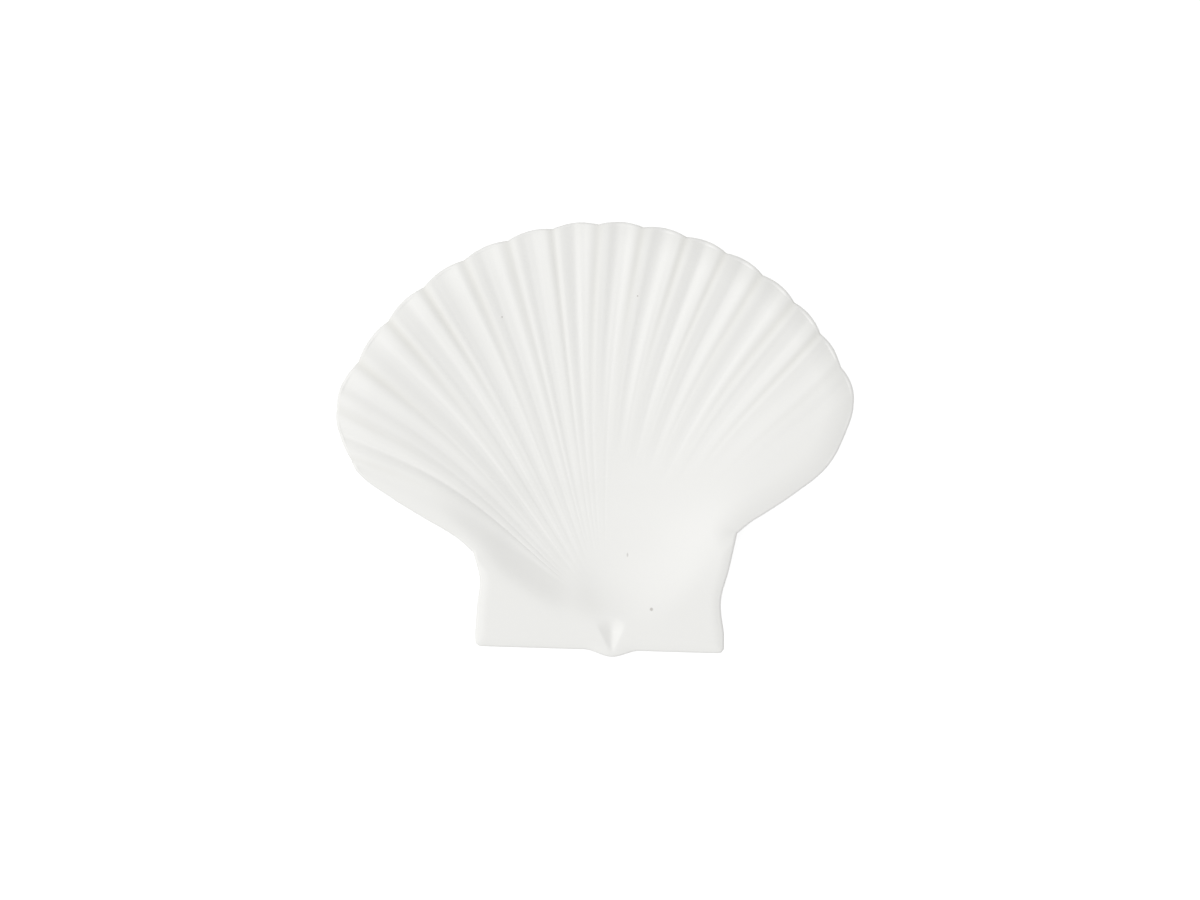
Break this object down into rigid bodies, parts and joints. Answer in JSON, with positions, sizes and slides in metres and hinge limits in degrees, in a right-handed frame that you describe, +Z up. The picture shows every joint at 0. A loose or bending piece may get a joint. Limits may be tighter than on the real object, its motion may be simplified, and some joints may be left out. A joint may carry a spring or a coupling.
{
  "type": "shell shaped platter",
  "caption": "Shallow serving platter shaped like an open scallop shell, with a fluted dish, a scalloped rim, two flat ears at the hinge end and a foot ring beneath.",
  "frame": {"origin": "middle of the platter's box in plan, on the table plane under the foot ring", "axes": "+X across the shell to the right as seen from above with the hinge line nearest, +Y from the hinge line to the fan's rim, +Z up out of the hollow"},
  "size_m": [0.322, 0.2706, 0.0218],
  "materials": {
    "white_glaze": "satin"
  },
  "bodies": {
    "root": {"platter": "white_glaze"}
  },
  "joints": []
}
